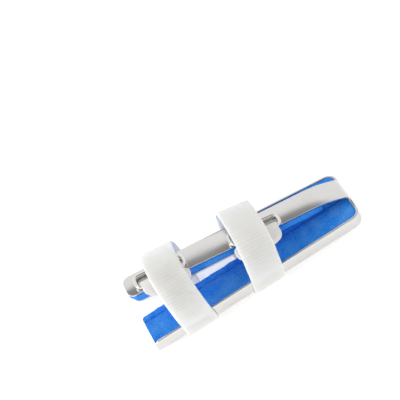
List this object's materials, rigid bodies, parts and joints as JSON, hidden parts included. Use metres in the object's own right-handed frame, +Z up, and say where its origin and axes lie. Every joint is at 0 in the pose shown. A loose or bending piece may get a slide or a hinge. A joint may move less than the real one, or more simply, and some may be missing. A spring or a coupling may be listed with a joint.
{
  "type": "finger splint",
  "caption": "Foam-lined aluminium finger splint: slit tray with a tongue folded back over the finger, held by hook and loop straps with wire rings.",
  "frame": {"origin": "middle of the bounding box in plan, at its lowest level, which is the undersides of the two straps", "axes": "+X along the splint to its closed fingertip end, -Y to the side of the tabs, +Z up, from the tray to the tongue"},
  "size_m": [0.0886, 0.0374, 0.0275],
  "materials": {
    "aluminium": "satin",
    "foam": "matte",
    "webbing": "matte",
    "ring_wire": "polished"
  },
  "bodies": {
    "root": {"shell": "aluminium", "pad_near": "foam", "pad_far": "foam", "pad_tongue": "foam", "strap_distal": "webbing", "strap_proximal": "webbing", "ring_distal": "ring_wire", "ring_proximal": "ring_wire", "tab_distal": "webbing", "tab_proximal": "webbing"}
  },
  "joints": []
}
